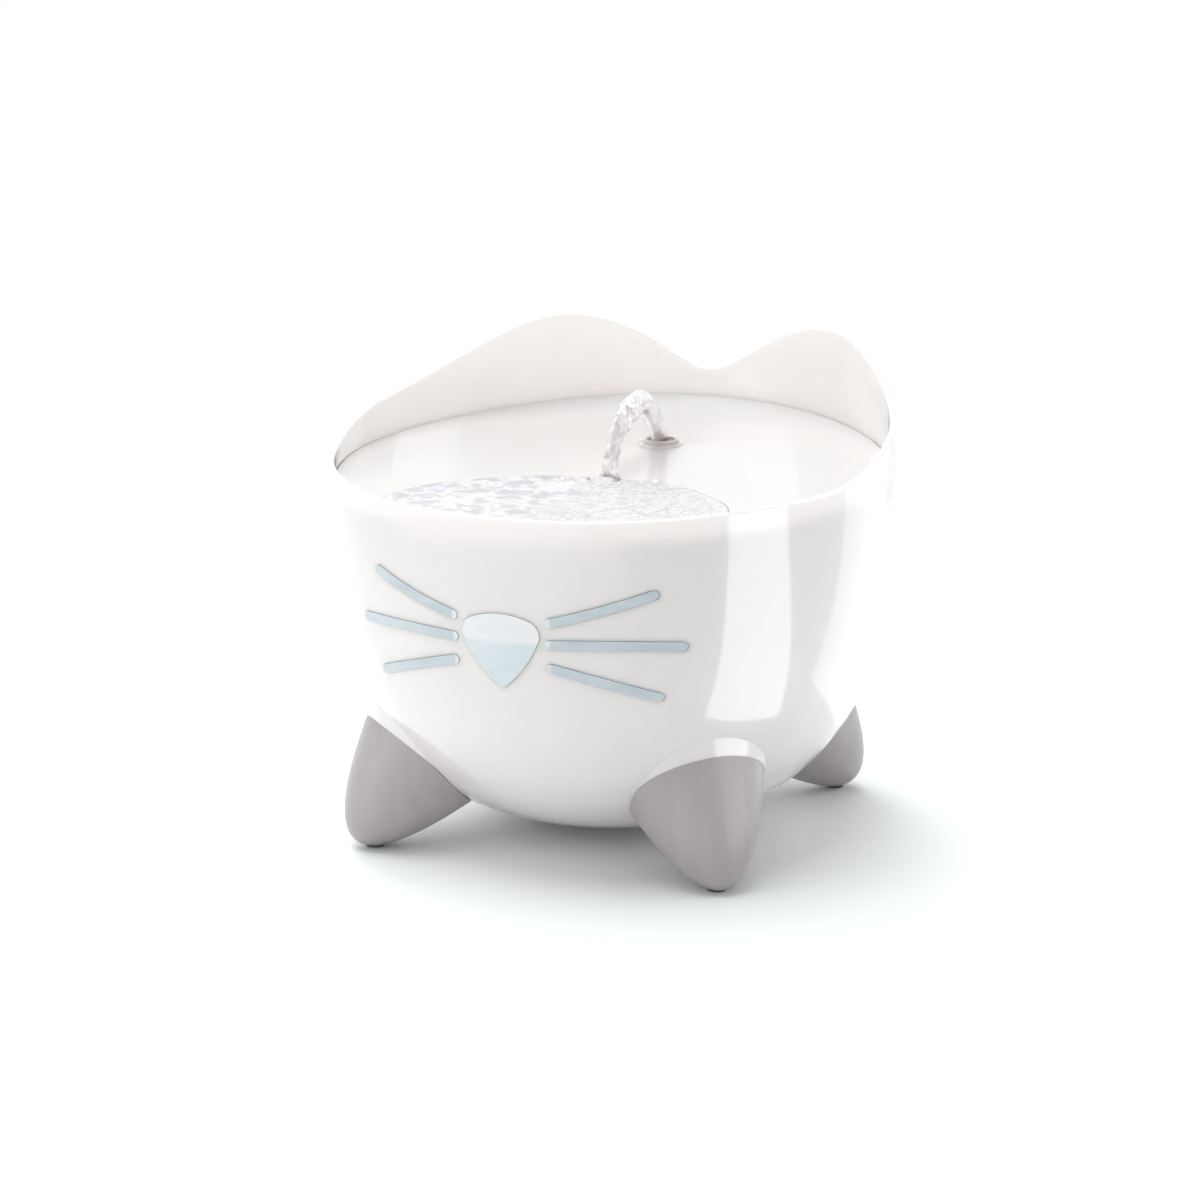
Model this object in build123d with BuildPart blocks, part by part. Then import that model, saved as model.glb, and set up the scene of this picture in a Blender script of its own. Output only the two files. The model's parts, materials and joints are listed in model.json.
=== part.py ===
from build123d import *
import os
from math import cos, radians, sin

os.makedirs("parts", exist_ok=True)

# A pet water fountain that stands on four feet. Millimetres, +Z up, with the floor at z = 0 and the bowl's
# axis on Z. The face with the nose and whiskers looks along -Y, and +X is on the right of someone facing it.

# ---------------------------------------------------------------- driving dimensions
# Reservoir bowl, a shell whose outer form is a superellipse turned about Z
bowl_radius = 120.25
bowl_bottom_z = 6.7
bowl_bottom_depth = 2.45  # how far the flat bottom is cut up into the form
bowl_form_height = 200.0
bowl_fullness = 4.44  # exponents of the superellipse
bowl_roundness = 2.418
bowl_wall = 2.8

# Rim, a wave round the bowl: low at the front, two ears at the back and a dip between them
rim_front_z = 156.7
rim_ear_z = 203.2
rim_wave = (  # angle from the front in degrees, share of the rise from the front to the ears
    (0, 0.0),
    (30, 0.012),
    (55, 0.055),
    (76, 0.125),
    (93, 0.307),
    (109, 0.458),
    (125, 0.695),
    (136.5, 0.9),
    (148.2, 1.0),
    (159.5, 0.905),
    (170, 0.673),
    (180, 0.482),
)
rim_edge_radius = 0.9
rim_blank_margin = 4.0  # how far the uncut form rises over the ears

# Feet, paraboloids that point outward and down from a tilted parting plane
foot_count = 4
foot_setback = 32.55  # centre of the parting plane, in from the bowl's side
foot_centre_z = 36.7
foot_tilt = 41.8  # parting plane against the floor, degrees
foot_radius = 29.0
foot_length = 44.8
foot_wall = 2.8
foot_seat_gap = 0.1
hip_radius = 29.6  # white boss above the foot, at the parting plane
hip_crown_radius = 34.6
hip_crown_rise = 6.5
foot_post_radius = 5.2
foot_pad_radius = 3.8
foot_pad_thickness = 1.6
foot_pad_reach = 21.1  # pad, out from the centre of the parting plane
screw_radius = 1.6
screw_head_radius = 3.1
screw_head_height = 2.2
screw_length = 24.0
screw_reach = 0.3
screw_head_z = 14.0
screw_boss_radius = 4.5
screw_boss_top_z = 46.0
screw_thread_gap = 0.05
screw_hole_gap = 0.3
screw_tip_room = 2.0

# Windows in the face, drawn as they look from the front and cut straight through along Y
nose_top_z = 118.0
nose_top_radius = 33.6
nose_side_radius = 50.5
nose_side_centre = (30.4, 126.7)  # distance from the middle, height
nose_shoulder_radius = 6.5
nose_tip_radius = 2.6
whisker_lines = (  # inner end, middle and outer end of each whisker on the right: x, z
    ((20.9, 115.4), (40.5, 120.9), (59.4, 127.2)),
    ((20.7, 106.3), (45.0, 106.7), (68.8, 105.6)),
    ((20.9, 96.5), (40.5, 91.1), (59.6, 84.6)),
)
whisker_width = 4.0
window_gap = 0.1
window_proud = 0.4
window_flange = 0.9
window_flange_thickness = 1.2
window_seal_thickness = 0.8
window_seal_gap = 0.05

# Drinking dish: a ramp and a pool turned about an upright axis in front of the bowl's axis
dish_wall = 2.4
dish_gap = 0.4
dish_seat_gap = 0.2
pool_axis_y = -73.0
pool_floor_z = 139.0
pool_floor_radius = 58.0
water_z = 149.5
ramp_profile = (  # distance from the pool's axis, height
    (76.0, 149.5),
    (104.0, 151.9),
    (131.0, 154.6),
    (152.0, 156.9),
    (174.0, 160.9),
    (190.0, 166.3),
)
ramp_run_out = (204.0, 173.2)
lip_setback = 12.25  # front lip at the water's level, in from the bowl's side
lip_run = 6.0
weir_half_angle = 24.0
weir_lip = 2.5
dish_rib_angles = (45, 90, 135, 165, 195, 225, 270, 315)
dish_rib_reach = 4.6
dish_rib_height = 18.0
dish_rib_width = 2.4

# Spout nozzle and its ring. The jet rises through the nozzle's bore, which leans towards the pool at its top
spout_y = 58.0
spout_radius = 4.75
spout_bore = 3.4
spout_tail_z = 141.0
spout_elbow_z = 151.5
spout_lean = 12.0  # degrees from upright
spout_flange_radius = 6.2
spout_flange = 0.9
ring_seat_z = 154.9
ring_seat_radius = 10.5
ring_seat_thickness = 3.0
ring_radius = 7.8
ring_height = 2.0
ring_web = 0.6
ring_neck_radius = 6.4
ring_lower_radius = 7.8
ring_lower_height = 1.4
ring_gap = 0.05

# Cord grommet in the back wall, above the reservoir's water
cord_bore_radius = 2.3
grommet_z = 128.0
grommet_neck_radius = 5.0
grommet_flange_radius = 7.6
grommet_flange = 1.4
grommet_recess = 1.4
grommet_play = 0.5

# Pump tray: an open box on suction cups, with a slot for the filter at its front
tray_width = 76.0
tray_front_y = -43.0
tray_back_y = 41.0
tray_floor_z = 16.0
tray_top_z = 60.0
tray_wall = 2.0
tray_corner = 4.0
tray_pad_radius = 2.5
tray_pad_height = 2.2
tray_slot_count = 7
tray_slot_width = 4.0
tray_slot_pitch = 8.0
partition_y = -28.0  # front face of the partition behind the filter
partition_window = (52.0, 32.0)
cup_spacing = 34.0
cup_radius = 7.0
cup_neck_radius = 2.4
cup_button_radius = 3.6
cup_button_height = 2.0
cup_wall = 1.6
cup_seat_gap = 0.1

# Filter cartridge
filter_gap = 0.4
filter_height = 50.0
filter_border = 4.0
filter_mesh_thickness = 0.8
filter_foam_thickness = 3.6
filter_carbon_thickness = 3.2
filter_grid = 1.0
filter_bar_count = 3
filter_tab = (22.0, 7.0)

# Pump: motor housing, impeller chamber and strainer in a row along Y
motor_width = 42.0
motor_height = 36.0
motor_front_y = -22.0
motor_back_y = 16.0
motor_wall = 2.0
motor_corner = 5.0
cover_lip = 1.2
cover_lip_depth = 2.0
cover_gap = 0.1
well_bore = 8.5
well_wall = 1.2
well_floor_y = -5.0
magnet_radius = 8.0
magnet_length = 16.0
magnet_chamfer = 0.6
hub_radius = 3.0
shaft_radius = 1.0
shaft_play = 0.05
shaft_seat = 1.0
bush_play = 0.02
hub_play = 0.1
impeller_radius = 10.0
impeller_disc = 1.6
impeller_lift = 1.2  # disc above the motor housing
vane_height = 5.5
vane_thickness = 1.4
vane_count = 6
chamber_radius = 11.5
chamber_width = 34.0
chamber_height = 32.0
chamber_back_y = 30.0
chamber_wall = 3.0
intake_radius = 6.6
spoke_count = 3
intake_hub_wall = 1.0
bush_radius = 2.6
bush_length = 1.3
spoke_width = 1.6
seal_ring_radius = 13.2
seal_section = 0.9  # radius of the ring's section
nozzle_radius = 5.0
nozzle_bore = 3.5
nozzle_y = 23.0
nozzle_length = 13.8
core_leg = 4.5
core_height = 14.0
core_yoke_y = -16.5
core_back_y = 12.0
core_gap = 0.4
coil_build = 2.6
coil_length = 18.6
strainer_depth = 8.0
strainer_wall = 1.6
strainer_slot = 2.0
strainer_slot_pitch = 4.0
strainer_slot_count = 7
slider_travel = 8.0
slider_width = 12.0
slider_depth = 5.0
slider_thickness = 1.4
slider_gap = 0.25
rail_thickness = 1.0
rail_lip = 0.8
slider_grip = (3.0, 3.2, 3.0)
lamp_radius = 4.0
lamp_y = -12.0
board_size = (16.0, 11.0, 1.6)
gland_radius = 4.6
gland_taper = 1.0
gland_height = 8.0
gland_xy = (-12.0, 4.0)
pump_screw_radius = 1.25
pump_screw_head_radius = 2.4
pump_screw_head = 1.5
pump_screw_length = 19.0
pump_boss_radius = 2.6
pump_boss_length = 5.5
pump_screw_inset = 4.2

# Riser hose from the pump's outlet to the spout nozzle
hose_bore = 5.05
hose_radius = 6.6
hose_lower_z = 84.0
hose_upper_z = 124.0
hose_top_z = 148.8
hose_bend = 42.0
hose_grip = 10.0

# ---------------------------------------------------------------- shared geometry
form_low_z = bowl_bottom_z - bowl_bottom_depth
blank_top_z = rim_ear_z + rim_blank_margin
form_steps = 14
cavity_floor_z = bowl_bottom_z + bowl_wall
dish_skirt_z = pool_floor_z - dish_wall
lip_radius = bowl_radius - lip_setback
lip_foot_radius = lip_radius - lip_run
foot_centre_radius = bowl_radius - foot_setback
foot_pad_from_axis = foot_centre_radius + foot_pad_reach
screw_from_axis = foot_centre_radius + screw_reach
tray_inside_z = tray_floor_z + tray_wall
motor_bottom_z = tray_inside_z + tray_pad_height
motor_top_z = motor_bottom_z + motor_height
pump_axis_z = motor_bottom_z + motor_height / 2
FRONT = -90.0  # direction of the face in the XY plane, degrees


def form_radius(z, inset=0.0):
    """Radius of the bowl's form at a height, inset from its outer surface."""
    share = (z - form_low_z - inset) / (bowl_form_height - inset)
    share = min(max(share, 0.0), 1.0)
    return (bowl_radius - inset) * (1 - (1 - share) ** bowl_fullness) ** (1 / bowl_roundness)


def form_solid(inset, low_z, high_z):
    """The inset form as a solid of revolution between two heights."""
    heights = [low_z + (high_z - low_z) * (step / form_steps) ** 2 for step in range(form_steps + 1)]
    with BuildPart() as form:
        with BuildSketch(Plane.XZ):
            with BuildLine():
                side = Spline(*[(form_radius(z, inset), z) for z in heights])
                Polyline(side @ 1, (0, high_z), (0, low_z), side @ 0)
            make_face()
        revolve(axis=Axis.Z)
    return form.part


def turned(profile, axis=Axis.Z, plane=Plane.XZ):
    """A closed outline turned about an axis in its plane."""
    with BuildPart() as body:
        with BuildSketch(plane):
            with BuildLine():
                Polyline(*profile, close=True)
            make_face()
        revolve(axis=axis)
    return body.part


def finish(builder, name):
    """Labels a finished piece and writes it."""
    builder.part.label = name
    export_step(builder.part, f"parts/{name}.step")


# ---------------------------------------------------------------- rim wave
def rim_ring(radius):
    """The rim's wave as a closed curve at one radius."""
    one_side = [(angle, rim_front_z + share * (rim_ear_z - rim_front_z)) for angle, share in rim_wave]
    other_side = [(360 - angle, z) for angle, z in reversed(one_side[1:-1])]
    points = [
        (radius * cos(radians(FRONT + angle)), radius * sin(radians(FRONT + angle)), z)
        for angle, z in one_side + other_side
    ]
    with BuildLine() as ring:
        Spline(*points, periodic=True)
    return ring.edge()


rim_reach = 6.0
rim_surface = Face.make_surface_from_curves(
    rim_ring(bowl_radius + rim_reach), rim_ring(bowl_radius - bowl_wall - rim_reach)
)

# ---------------------------------------------------------------- foot planes
foot_angles = [FRONT + 360 / foot_count * (index + 0.5) for index in range(foot_count)]
foot_names = ("foot_front_right", "foot_rear_right", "foot_rear_left", "foot_front_left")


def foot_frame(angle):
    """Origin, direction along the parting plane and direction of the tip of the foot at an angle."""
    outward = Vector(cos(radians(angle)), sin(radians(angle)), 0)
    upward = Vector(0, 0, 1)
    origin = outward * foot_centre_radius + upward * foot_centre_z
    along = outward * cos(radians(foot_tilt)) + upward * sin(radians(foot_tilt))
    tip = outward * sin(radians(foot_tilt)) - upward * cos(radians(foot_tilt))
    return origin, along, tip


def foot_side_plane(angle):
    """The upright plane through a foot's axis: x along the parting plane, y towards the tip."""
    origin, along, tip = foot_frame(angle)
    return Plane(origin=origin, x_dir=along, z_dir=along.cross(tip))


def foot_axis(angle):
    origin, along, tip = foot_frame(angle)
    return Axis(origin, tip)


def paraboloid(angle, radius, length):
    """The foot's form: a parabola turned about the foot's axis."""
    with BuildPart() as form:
        with BuildSketch(foot_side_plane(angle)):
            with BuildLine():
                side = Bezier((radius, 0), (radius / 2, length), (0, length))
                Polyline(side @ 1, (0, 0), (radius, 0))
            make_face()
        revolve(axis=foot_axis(angle))
    return form.part


def around(angle, radius):
    """The point at an angle and a distance from the bowl's axis."""
    return radius * cos(radians(angle)), radius * sin(radians(angle))


hip_depth = 16.0
hip_profile = (
    (0, 0),
    (hip_radius, 0),
    (hip_crown_radius, -hip_crown_rise),
    (hip_crown_radius, -hip_depth),
    (0, -hip_depth),
)

# ---------------------------------------------------------------- windows seen from the front
window_plane = Plane(origin=(0, 0, 0), x_dir=(1, 0, 0), z_dir=(0, -1, 0))
window_reach = 10.0  # how far the cuts run past the bowl


def nose_prism(grow):
    """The nose's outline, grown by a margin and cut through the front of the bowl."""
    with BuildPart() as prism:
        with BuildSketch(window_plane) as nose:
            with Locations((0, nose_top_z - nose_top_radius)):
                Circle(nose_top_radius + grow)
            for side in (-1, 1):
                with Locations((side * nose_side_centre[0], nose_side_centre[1])):
                    Circle(nose_side_radius + grow, mode=Mode.INTERSECT)
            fillet(nose.vertices().sort_by(Axis.Y)[1:], nose_shoulder_radius + grow)
            fillet(nose.vertices().sort_by(Axis.Y)[0], nose_tip_radius + grow)
        extrude(amount=bowl_radius + window_reach)
    return prism.part


def whisker_prism(grow, side):
    """The three whiskers of one side, grown by a margin and cut through the front of the bowl."""
    with BuildPart() as prism:
        for line in whisker_lines:
            inner, middle, outer = [(side * x, z) for x, z in line]
            half_width = whisker_width / 2 + grow
            with BuildSketch(window_plane):
                with BuildLine():
                    ThreePointArc(inner, middle, outer)
                    offset(amount=half_width)
                make_face()
            extrude(amount=bowl_radius + window_reach)
    return prism.part


def whisker_plate_prism(grow, side):
    """The backing plate that joins the three whiskers of one side."""
    inner = [line[0] for line in whisker_lines]
    outer = [line[2] for line in whisker_lines]
    corners = [inner[0], outer[0], outer[1], outer[2], inner[2]]
    with BuildPart() as prism:
        with BuildSketch(window_plane):
            with BuildLine():
                Polyline(*[(side * x, z) for x, z in corners], close=True)
            make_face()
            offset(amount=whisker_width / 2 + grow, kind=Kind.ARC)
        extrude(amount=bowl_radius + window_reach)
    return prism.part


window_low_z = 70.0
window_high_z = 140.0
flange_inset = bowl_wall + window_seal_thickness
lens_form, wall_form, flange_form, back_form = [
    form_solid(inset, window_low_z, window_high_z)
    for inset in (
        -window_proud,
        bowl_wall + window_seal_gap,
        flange_inset,
        flange_inset + window_flange_thickness,
    )
]

# ---------------------------------------------------------------- reservoir bowl
grommet_seat_y = form_radius(grommet_z) - grommet_recess

with BuildPart() as bowl_cavity:
    add(form_solid(bowl_wall, cavity_floor_z, blank_top_z + 1))
    for angle in foot_angles:
        with Locations((*around(angle, screw_from_axis), 0)):
            Cylinder(
                screw_boss_radius,
                screw_boss_top_z,
                align=(Align.CENTER, Align.CENTER, Align.MIN),
                mode=Mode.SUBTRACT,
            )
    rib_foot = form_radius(dish_skirt_z, bowl_wall)
    rib_top_z = dish_skirt_z - dish_seat_gap
    for angle in dish_rib_angles:
        rib_plane = Plane(
            origin=(0, 0, 0),
            x_dir=(*around(FRONT + angle, 1), 0),
            z_dir=(*around(FRONT + angle - 90, 1), 0),
        )
        with BuildSketch(rib_plane):
            with BuildLine():
                Polyline(
                    (rib_foot - dish_rib_reach, rib_top_z),
                    (rib_foot + bowl_wall, rib_top_z),
                    (rib_foot + bowl_wall, rib_top_z - dish_rib_height),
                    (rib_foot - 1, rib_top_z - dish_rib_height),
                    close=True,
                )
            make_face()
        extrude(amount=dish_rib_width / 2, both=True, mode=Mode.SUBTRACT)

with BuildPart() as reservoir_bowl:
    add(form_solid(0, bowl_bottom_z, blank_top_z))
    for angle in foot_angles:
        add(turned(hip_profile, foot_axis(angle), foot_side_plane(angle)))
    add(bowl_cavity.part, mode=Mode.SUBTRACT)
    extrude(rim_surface, amount=blank_top_z, dir=(0, 0, 1), mode=Mode.SUBTRACT)
    rim_edges = reservoir_bowl.edges().filter_by(lambda edge: edge.bounding_box().min.Z > rim_front_z - 1)
    fillet(rim_edges, rim_edge_radius)
    add(nose_prism(0), mode=Mode.SUBTRACT)
    for side in (-1, 1):
        add(whisker_prism(0, side), mode=Mode.SUBTRACT)
    for angle in foot_angles:
        with Locations((*around(angle, screw_from_axis), 0)):
            Cylinder(
                screw_radius + screw_thread_gap,
                screw_head_z + screw_length + screw_tip_room,
                align=(Align.CENTER, Align.CENTER, Align.MIN),
                mode=Mode.SUBTRACT,
            )
    with Locations(Plane(origin=(0, bowl_radius, grommet_z), z_dir=(0, 1, 0))):
        Cylinder(grommet_neck_radius, 4 * bowl_wall, mode=Mode.SUBTRACT)
    with Locations(Plane(origin=(0, grommet_seat_y, grommet_z), z_dir=(0, 1, 0))):
        Cylinder(
            grommet_flange_radius + grommet_play,
            bowl_wall,
            align=(Align.CENTER, Align.CENTER, Align.MIN),
            mode=Mode.SUBTRACT,
        )
finish(reservoir_bowl, "reservoir_bowl")


# ---------------------------------------------------------------- windows
def wall_piece(prism, outer_form, inner_form):
    """The part of a prism that lies between two forms."""
    with BuildPart() as piece:
        add(prism)
        add(outer_form, mode=Mode.INTERSECT)
        add(inner_form, mode=Mode.SUBTRACT)
    return piece.part


with BuildPart() as nose_window:
    add(wall_piece(nose_prism(-window_gap), lens_form, back_form))
    add(wall_piece(nose_prism(window_flange), flange_form, back_form))
finish(nose_window, "nose_window")

with BuildPart() as nose_seal:
    add(wall_piece(nose_prism(window_flange), wall_form, flange_form))
    add(nose_prism(0), mode=Mode.SUBTRACT)
finish(nose_seal, "nose_seal")

for side, side_name in ((-1, "left"), (1, "right")):
    with BuildPart() as whisker_window:
        add(wall_piece(whisker_prism(-window_gap, side), lens_form, back_form))
        add(wall_piece(whisker_plate_prism(window_flange, side), flange_form, back_form))
    finish(whisker_window, f"whisker_window_{side_name}")

    with BuildPart() as whisker_seal:
        add(wall_piece(whisker_plate_prism(window_flange, side), wall_form, flange_form))
        add(whisker_prism(0, side), mode=Mode.SUBTRACT)
    finish(whisker_seal, f"whisker_seal_{side_name}")

# ---------------------------------------------------------------- feet
bowl_seat = form_solid(-foot_seat_gap, bowl_bottom_z - foot_seat_gap, rim_front_z)

for name, angle in zip(foot_names, foot_angles):
    screw_spot = (*around(angle, screw_from_axis), 0)
    with BuildPart() as foot_hollow:
        add(paraboloid(angle, foot_radius - foot_wall, foot_length - foot_wall))
        with Locations(screw_spot):
            Cylinder(
                foot_post_radius,
                2 * foot_centre_z,
                align=(Align.CENTER, Align.CENTER, Align.MIN),
                mode=Mode.SUBTRACT,
            )

    with BuildPart() as foot:
        add(paraboloid(angle, foot_radius, foot_length))
        add(foot_hollow.part, mode=Mode.SUBTRACT)
        add(bowl_seat, mode=Mode.SUBTRACT)
        with Locations(screw_spot):
            Cylinder(screw_radius + screw_hole_gap, 2 * bowl_radius, mode=Mode.SUBTRACT)
            Cylinder(
                screw_head_radius + screw_hole_gap,
                screw_head_z,
                align=(Align.CENTER, Align.CENTER, Align.MIN),
                mode=Mode.SUBTRACT,
            )
        with Locations((*around(angle, foot_pad_from_axis), 0)):
            Cylinder(foot_pad_radius, 2 * foot_pad_thickness, mode=Mode.SUBTRACT)
    finish(foot, name)

with BuildPart() as foot_pads:
    with BuildSketch():
        with PolarLocations(foot_pad_from_axis, foot_count, start_angle=foot_angles[0]):
            Circle(foot_pad_radius)
    extrude(amount=foot_pad_thickness)
finish(foot_pads, "foot_pads")

with BuildPart() as foot_screws:
    with BuildSketch(Plane.XY.offset(screw_head_z - screw_head_height)):
        with PolarLocations(screw_from_axis, foot_count, start_angle=foot_angles[0]):
            Circle(screw_head_radius)
    extrude(amount=screw_head_height)
    with BuildSketch(Plane.XY.offset(screw_head_z)):
        with PolarLocations(screw_from_axis, foot_count, start_angle=foot_angles[0]):
            Circle(screw_radius)
    extrude(amount=screw_length)
    with BuildSketch(Plane.XY.offset(screw_head_z - screw_head_height)):
        with PolarLocations(screw_from_axis, foot_count, start_angle=foot_angles[0]):
            RegularPolygon(screw_head_radius / 2, 6)
    extrude(amount=screw_head_height / 2, mode=Mode.SUBTRACT)
finish(foot_screws, "foot_screws")

# ---------------------------------------------------------------- cord grommet
grommet_outer_y = grommet_seat_y + grommet_play
grommet_inner_y = form_radius(grommet_z, bowl_wall) - grommet_play
grommet_waist = grommet_neck_radius - window_gap
grommet_profile = (
    (cord_bore_radius, grommet_inner_y - grommet_flange),
    (grommet_flange_radius, grommet_inner_y - grommet_flange),
    (grommet_flange_radius, grommet_inner_y),
    (grommet_waist, grommet_inner_y),
    (grommet_waist, grommet_outer_y),
    (grommet_flange_radius, grommet_outer_y),
    (grommet_flange_radius, grommet_outer_y + grommet_flange),
    (cord_bore_radius, grommet_outer_y + grommet_flange),
)
with BuildPart() as cord_grommet:
    add(turned(grommet_profile, Axis((0, 0, grommet_z), (0, 1, 0)), Plane.XY.offset(grommet_z)))
    outer_rings = cord_grommet.edges().filter_by(GeomType.CIRCLE).group_by(Axis.Y)[-1]
    fillet(outer_rings.sort_by(SortBy.RADIUS)[-1], grommet_flange / 2)
finish(cord_grommet, "cord_grommet")

# ---------------------------------------------------------------- drinking dish
pool_plane = Plane(origin=(0, pool_axis_y, 0), x_dir=(1, 0, 0), z_dir=(0, -1, 0))


def space_over_dish(drop):
    """The space above the ramp and the pool, with their surface lowered by a drop."""
    ramp = [(distance, z - drop) for distance, z in ramp_profile]
    slope = (ramp[1][0] - ramp[0][0], ramp[1][1] - ramp[0][1])
    run_out = (ramp_run_out[0], ramp_run_out[1] - drop)
    last_slope = (run_out[0] - ramp[-1][0], run_out[1] - ramp[-1][1])
    floor_z = pool_floor_z - drop
    with BuildPart() as space:
        with BuildSketch(pool_plane):
            with BuildLine():
                side = Spline((pool_floor_radius, floor_z), ramp[0], tangents=((1, 0), slope))
                rise = Spline(*ramp, run_out, tangents=(slope, last_slope))
                Polyline(rise @ 1, (run_out[0], blank_top_z), (0, blank_top_z), (0, floor_z), side @ 0)
            make_face()
        revolve(axis=Axis((0, pool_axis_y, 0), (0, 0, 1)))
        front_lip = (
            (0, floor_z),
            (lip_foot_radius + drop, floor_z),
            (lip_radius + drop, water_z - drop),
            (bowl_radius, water_z - drop),
            (bowl_radius, blank_top_z),
            (0, blank_top_z),
        )
        add(turned(front_lip), mode=Mode.INTERSECT)
    return space.part


dish_inset = bowl_wall + dish_gap
ring_under_z = ring_seat_z - ring_seat_thickness

with BuildPart() as dish_underside:
    add(form_solid(dish_inset + dish_wall, dish_skirt_z, blank_top_z))
    add(space_over_dish(dish_wall), mode=Mode.SUBTRACT)

with BuildPart() as drinking_dish:
    add(form_solid(dish_inset, dish_skirt_z, blank_top_z))
    add(space_over_dish(0), mode=Mode.SUBTRACT)
    add(dish_underside.part, mode=Mode.SUBTRACT)
    with BuildSketch(Plane.XY.offset(dish_skirt_z)):
        Circle(bowl_radius)
        Circle(lip_radius + weir_lip, mode=Mode.SUBTRACT)
        with BuildLine():
            Polyline(
                (0, 0),
                around(FRONT - weir_half_angle, 2 * bowl_radius),
                around(FRONT + weir_half_angle, 2 * bowl_radius),
                close=True,
            )
        make_face(mode=Mode.INTERSECT)
    extrude(amount=blank_top_z - dish_skirt_z, mode=Mode.SUBTRACT)
    with Locations((0, spout_y, ring_seat_z)):
        Cylinder(
            ring_seat_radius,
            ring_seat_thickness,
            align=(Align.CENTER, Align.CENTER, Align.MAX),
        )
        Cylinder(
            ring_radius + dish_gap,
            ring_height,
            align=(Align.CENTER, Align.CENTER, Align.MIN),
            mode=Mode.SUBTRACT,
        )
        Cylinder(ring_neck_radius + ring_gap, 4 * ring_seat_thickness, mode=Mode.SUBTRACT)
    with Locations((0, spout_y, ring_under_z)):
        Cylinder(
            ring_lower_radius + dish_gap,
            2 * ring_lower_height,
            align=(Align.CENTER, Align.CENTER, Align.MAX),
            mode=Mode.SUBTRACT,
        )
finish(drinking_dish, "drinking_dish")

# ---------------------------------------------------------------- spout nozzle and its ring
spout_plane = Plane(origin=(0, spout_y, 0), x_dir=(1, 0, 0), z_dir=(0, -1, 0))
spout_axis = Axis((0, spout_y, 0), (0, 0, 1))
ring_bore = spout_radius + ring_gap
ring_top_bore = spout_flange_radius + ring_gap
spout_flange_z = ring_seat_z + ring_web
spout_top_z = spout_flange_z + spout_flange
ring_profile = (
    (ring_bore, ring_under_z - ring_lower_height),
    (ring_lower_radius, ring_under_z - ring_lower_height),
    (ring_lower_radius, ring_under_z),
    (ring_neck_radius, ring_under_z),
    (ring_neck_radius, ring_seat_z),
    (ring_radius, ring_seat_z),
    (ring_radius, ring_seat_z + ring_height),
    (ring_top_bore, ring_seat_z + ring_height),
    (ring_top_bore, spout_flange_z),
    (ring_bore, spout_flange_z),
)
with BuildPart() as spout_ring:
    add(turned(ring_profile, spout_axis, spout_plane))
    top_rings = spout_ring.edges().filter_by(GeomType.CIRCLE).group_by(Axis.Z)[-1]
    fillet(top_rings, (ring_radius - ring_top_bore) * 0.45)
finish(spout_ring, "spout_ring")

nozzle_profile = (
    (0, spout_tail_z),
    (spout_radius, spout_tail_z),
    (spout_radius, spout_flange_z),
    (spout_flange_radius, spout_flange_z),
    (spout_flange_radius, spout_top_z),
    (0, spout_top_z),
)
with BuildPart() as spout_nozzle:
    add(turned(nozzle_profile, spout_axis, spout_plane))
    with Locations((0, spout_y, spout_tail_z)):
        Cylinder(
            spout_bore,
            spout_elbow_z - spout_tail_z,
            align=(Align.CENTER, Align.CENTER, Align.MIN),
            mode=Mode.SUBTRACT,
        )
    with Locations((0, spout_y, spout_elbow_z)):
        Sphere(spout_bore, mode=Mode.SUBTRACT)
        with Locations(Rotation(spout_lean, 0, 0)):
            Cylinder(
                spout_bore,
                2 * (spout_top_z - spout_elbow_z),
                align=(Align.CENTER, Align.CENTER, Align.MIN),
                mode=Mode.SUBTRACT,
            )
finish(spout_nozzle, "spout_nozzle")

# ---------------------------------------------------------------- pump tray
tray_depth = tray_back_y - tray_front_y
tray_middle_y = (tray_back_y + tray_front_y) / 2
tray_middle_z = (tray_inside_z + tray_top_z) / 2
tray_inside_width = tray_width - 2 * tray_wall
tray_side_height = tray_top_z - tray_inside_z

with BuildPart() as pump_tray:
    with BuildSketch(Plane.XY.offset(tray_floor_z)):
        with Locations((0, tray_middle_y)):
            RectangleRounded(tray_width, tray_depth, tray_corner)
    extrude(amount=tray_top_z - tray_floor_z)
    with BuildSketch(Plane.XY.offset(tray_inside_z)):
        with Locations((0, tray_middle_y)):
            Rectangle(tray_inside_width, tray_depth - 2 * tray_wall)
    extrude(amount=tray_side_height, mode=Mode.SUBTRACT)
    with Locations((0, partition_y + tray_wall / 2, tray_middle_z)):
        Box(tray_inside_width, tray_wall, tray_side_height)
        Box(partition_window[0], 2 * tray_wall, partition_window[1], mode=Mode.SUBTRACT)
    with BuildSketch(Plane.XZ.offset(-tray_front_y)):
        with Locations((0, tray_middle_z)):
            with GridLocations(tray_slot_pitch, 1, tray_slot_count, 1):
                SlotOverall(partition_window[1], tray_slot_width, rotation=90)
    extrude(amount=-tray_wall, mode=Mode.SUBTRACT)
    with BuildSketch(Plane.XY.offset(tray_inside_z)):
        for pad_y in (motor_front_y + 2 * tray_pad_radius, motor_back_y - 2 * tray_pad_radius):
            with Locations((-motor_width / 4, pad_y), (motor_width / 4, pad_y)):
                Circle(tray_pad_radius)
    extrude(amount=tray_pad_height)
    with BuildSketch(Plane.XY.offset(tray_floor_z)):
        with GridLocations(cup_spacing, cup_spacing, 2, 2):
            Circle(cup_neck_radius + window_gap)
    extrude(amount=tray_wall, mode=Mode.SUBTRACT)
finish(pump_tray, "pump_tray")

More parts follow.
